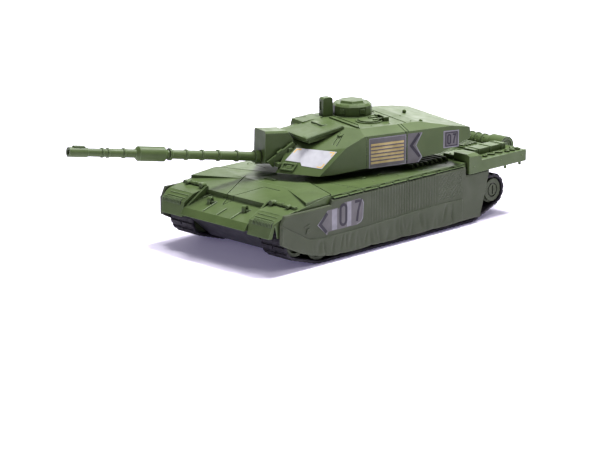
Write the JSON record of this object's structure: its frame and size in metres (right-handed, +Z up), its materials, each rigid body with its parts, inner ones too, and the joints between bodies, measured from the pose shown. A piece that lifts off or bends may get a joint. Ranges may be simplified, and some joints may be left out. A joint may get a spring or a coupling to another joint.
{
  "type": "radio controlled battle tank",
  "caption": "Small scale radio controlled battle tank with a turning turret, elevating gun, skirted tracks and twin motor drive",
  "frame": {"origin": "on the ground under the middle of the overall length, on the centre plane of the hull", "axes": "+Z up, -Y towards the nose of the hull, +X towards the port side; the turret rests turned 15 degrees to starboard"},
  "size_m": [0.0826, 0.2354, 0.0622],
  "materials": {
    "hull_plastic": "satin olive green moulded ABS",
    "skirt_plastic": "matte grey green moulded ABS",
    "wheel_plastic": "satin grey green moulded ABS",
    "track_rubber": "matt black rubber",
    "steel": "bright steel",
    "gear_plastic": "natural acetal",
    "motor_can": "plated steel can",
    "battery_sleeve": "glossy printed sleeve",
    "contact_plate": "nickel plate",
    "circuit_board": "solder mask green",
    "wire_sleeve": "red PVC",
    "black_plastic": "matt black",
    "sticker": "printed vinyl label"
  },
  "bodies": {
    "hull": {"lower_hull": "black_plastic", "upper_hull": "hull_plastic", "engine_deck": "hull_plastic", "mudguard_port": "hull_plastic", "mudguard_starboard": "hull_plastic", "side_skirt_port": "skirt_plastic", "side_skirt_starboard": "skirt_plastic", "stowage_box_port": "hull_plastic", "stowage_box_starboard": "hull_plastic", "fuel_drum_port": "hull_plastic", "fuel_drum_starboard": "hull_plastic", "hull_screws": "steel", "axle_pins": "steel", "track_port": "track_rubber", "track_starboard": "track_rubber", "battery_cover": "black_plastic", "battery_cells": "battery_sleeve", "battery_contacts": "contact_plate", "circuit_board": "circuit_board", "wiring": "wire_sleeve", "switch_body": "black_plastic", "gearbox_frame_port": "gear_plastic", "gearbox_frame_starboard": "gear_plastic", "drive_motor_port": "motor_can", "drive_motor_starboard": "motor_can", "turret_motor": "motor_can"},
    "power_switch": {"switch_slider": "black_plastic"},
    "drive_sprocket_port": {"sprocket_port": "wheel_plastic", "drive_axle_port": "steel", "final_gear_port": "gear_plastic"},
    "reduction_gear_port": {"compound_gear_port": "gear_plastic"},
    "motor_shaft_port": {"motor_pinion_port": "gear_plastic"},
    "idler_port": {"idler_wheel_port": "wheel_plastic"},
    "wheel_1_port": {"road_wheel_1_port": "wheel_plastic"},
    "wheel_2_port": {"road_wheel_2_port": "wheel_plastic"},
    "wheel_3_port": {"road_wheel_3_port": "wheel_plastic"},
    "wheel_4_port": {"road_wheel_4_port": "wheel_plastic"},
    "wheel_5_port": {"road_wheel_5_port": "wheel_plastic"},
    "wheel_6_port": {"road_wheel_6_port": "wheel_plastic"},
    "drive_sprocket_starboard": {"sprocket_starboard": "wheel_plastic", "drive_axle_starboard": "steel", "final_gear_starboard": "gear_plastic"},
    "reduction_gear_starboard": {"compound_gear_starboard": "gear_plastic"},
    "motor_shaft_starboard": {"motor_pinion_starboard": "gear_plastic"},
    "idler_starboard": {"idler_wheel_starboard": "wheel_plastic"},
    "wheel_1_starboard": {"road_wheel_1_starboard": "wheel_plastic"},
    "wheel_2_starboard": {"road_wheel_2_starboard": "wheel_plastic"},
    "wheel_3_starboard": {"road_wheel_3_starboard": "wheel_plastic"},
    "wheel_4_starboard": {"road_wheel_4_starboard": "wheel_plastic"},
    "wheel_5_starboard": {"road_wheel_5_starboard": "wheel_plastic"},
    "wheel_6_starboard": {"road_wheel_6_starboard": "wheel_plastic"},
    "turret": {"turret_shell": "hull_plastic", "turret_base": "black_plastic", "turret_ring_gear": "gear_plastic", "cupola": "hull_plastic", "sight_box": "hull_plastic"},
    "turret_drive_shaft": {"turret_pinion": "gear_plastic"},
    "gun": {"gun_mount": "hull_plastic", "gun_barrel": "hull_plastic", "trunnion_pin": "steel"}
  },
  "joints": [
    {"name": "power_switch_slide", "type": "slide", "parent": "hull", "child": "power_switch", "axis": [1, 0, 0], "range_m": [0, 0.0024]},
    {"name": "sprocket_spin_port", "type": "hinge", "parent": "hull", "child": "drive_sprocket_port", "pos_m": [0.03075, 0.08884, 0.0137], "axis": [1, 0, 0], "continuous": true},
    {"name": "reduction_gear_spin_port", "type": "hinge", "parent": "hull", "child": "reduction_gear_port", "pos_m": [0.0146, 0.08071, 0.01513], "axis": [1, 0, 0], "continuous": true},
    {"name": "motor_shaft_spin_port", "type": "hinge", "parent": "hull", "child": "motor_shaft_port", "pos_m": [0.014, 0.07259, 0.0137], "axis": [1, 0, 0], "continuous": true},
    {"name": "idler_spin_port", "type": "hinge", "parent": "hull", "child": "idler_port", "pos_m": [0.03075, -0.04666, 0.0126], "axis": [1, 0, 0], "continuous": true},
    {"name": "wheel_1_spin_port", "type": "hinge", "parent": "hull", "child": "wheel_1_port", "pos_m": [0.03075, -0.03216, 0.0091], "axis": [1, 0, 0], "continuous": true},
    {"name": "wheel_2_spin_port", "type": "hinge", "parent": "hull", "child": "wheel_2_port", "pos_m": [0.03075, -0.01096, 0.0091], "axis": [1, 0, 0], "continuous": true},
    {"name": "wheel_3_spin_port", "type": "hinge", "parent": "hull", "child": "wheel_3_port", "pos_m": [0.03075, 0.01024, 0.0091], "axis": [1, 0, 0], "continuous": true},
    {"name": "wheel_4_spin_port", "type": "hinge", "parent": "hull", "child": "wheel_4_port", "pos_m": [0.03075, 0.03144, 0.0091], "axis": [1, 0, 0], "continuous": true},
    {"name": "wheel_5_spin_port", "type": "hinge", "parent": "hull", "child": "wheel_5_port", "pos_m": [0.03075, 0.05264, 0.0091], "axis": [1, 0, 0], "continuous": true},
    {"name": "wheel_6_spin_port", "type": "hinge", "parent": "hull", "child": "wheel_6_port", "pos_m": [0.03075, 0.07384, 0.0091], "axis": [1, 0, 0], "continuous": true},
    {"name": "sprocket_spin_starboard", "type": "hinge", "parent": "hull", "child": "drive_sprocket_starboard", "pos_m": [-0.03075, 0.08884, 0.0137], "axis": [1, 0, 0], "continuous": true},
    {"name": "reduction_gear_spin_starboard", "type": "hinge", "parent": "hull", "child": "reduction_gear_starboard", "pos_m": [-0.0146, 0.08071, 0.01513], "axis": [1, 0, 0], "continuous": true},
    {"name": "motor_shaft_spin_starboard", "type": "hinge", "parent": "hull", "child": "motor_shaft_starboard", "pos_m": [-0.014, 0.07259, 0.0137], "axis": [1, 0, 0], "continuous": true},
    {"name": "idler_spin_starboard", "type": "hinge", "parent": "hull", "child": "idler_starboard", "pos_m": [-0.03075, -0.04666, 0.0126], "axis": [1, 0, 0], "continuous": true},
    {"name": "wheel_1_spin_starboard", "type": "hinge", "parent": "hull", "child": "wheel_1_starboard", "pos_m": [-0.03075, -0.03216, 0.0091], "axis": [1, 0, 0], "continuous": true},
    {"name": "wheel_2_spin_starboard", "type": "hinge", "parent": "hull", "child": "wheel_2_starboard", "pos_m": [-0.03075, -0.01096, 0.0091], "axis": [1, 0, 0], "continuous": true},
    {"name": "wheel_3_spin_starboard", "type": "hinge", "parent": "hull", "child": "wheel_3_starboard", "pos_m": [-0.03075, 0.01024, 0.0091], "axis": [1, 0, 0], "continuous": true},
    {"name": "wheel_4_spin_starboard", "type": "hinge", "parent": "hull", "child": "wheel_4_starboard", "pos_m": [-0.03075, 0.03144, 0.0091], "axis": [1, 0, 0], "continuous": true},
    {"name": "wheel_5_spin_starboard", "type": "hinge", "parent": "hull", "child": "wheel_5_starboard", "pos_m": [-0.03075, 0.05264, 0.0091], "axis": [1, 0, 0], "continuous": true},
    {"name": "wheel_6_spin_starboard", "type": "hinge", "parent": "hull", "child": "wheel_6_starboard", "pos_m": [-0.03075, 0.07384, 0.0091], "axis": [1, 0, 0], "continuous": true},
    {"name": "turret_yaw", "type": "hinge", "parent": "hull", "child": "turret", "pos_m": [0, 0.02134, 0.034], "axis": [0, 0, 1], "continuous": true},
    {"name": "turret_drive_spin", "type": "hinge", "parent": "hull", "child": "turret_drive_shaft", "pos_m": [0, 0.03984, 0.0257], "axis": [0, 0, 1], "continuous": true},
    {"name": "gun_elevation", "type": "hinge", "parent": "turret", "child": "gun", "pos_m": [-0.0088, -0.0115, 0.03903], "axis": [-0.9659, 0.2588, 0], "range_deg": [-9.8, 12.2]}
  ],
  "couplings": [
    {"joint": "reduction_gear_spin_port", "follows": "sprocket_spin_port", "ratio": -2.6667},
    {"joint": "motor_shaft_spin_port", "follows": "sprocket_spin_port", "ratio": 7.1111},
    {"joint": "idler_spin_port", "follows": "sprocket_spin_port", "ratio": 0.97059},
    {"joint": "wheel_1_spin_port", "follows": "sprocket_spin_port", "ratio": 0.88},
    {"joint": "wheel_2_spin_port", "follows": "sprocket_spin_port", "ratio": 0.88},
    {"joint": "wheel_3_spin_port", "follows": "sprocket_spin_port", "ratio": 0.88},
    {"joint": "wheel_4_spin_port", "follows": "sprocket_spin_port", "ratio": 0.88},
    {"joint": "wheel_5_spin_port", "follows": "sprocket_spin_port", "ratio": 0.88},
    {"joint": "wheel_6_spin_port", "follows": "sprocket_spin_port", "ratio": 0.88},
    {"joint": "reduction_gear_spin_starboard", "follows": "sprocket_spin_starboard", "ratio": -2.6667},
    {"joint": "motor_shaft_spin_starboard", "follows": "sprocket_spin_starboard", "ratio": 7.1111},
    {"joint": "idler_spin_starboard", "follows": "sprocket_spin_starboard", "ratio": 0.97059},
    {"joint": "wheel_1_spin_starboard", "follows": "sprocket_spin_starboard", "ratio": 0.88},
    {"joint": "wheel_2_spin_starboard", "follows": "sprocket_spin_starboard", "ratio": 0.88},
    {"joint": "wheel_3_spin_starboard", "follows": "sprocket_spin_starboard", "ratio": 0.88},
    {"joint": "wheel_4_spin_starboard", "follows": "sprocket_spin_starboard", "ratio": 0.88},
    {"joint": "wheel_5_spin_starboard", "follows": "sprocket_spin_starboard", "ratio": 0.88},
    {"joint": "wheel_6_spin_starboard", "follows": "sprocket_spin_starboard", "ratio": 0.88},
    {"joint": "turret_drive_spin", "follows": "turret_yaw", "ratio": -6.4}
  ]
}
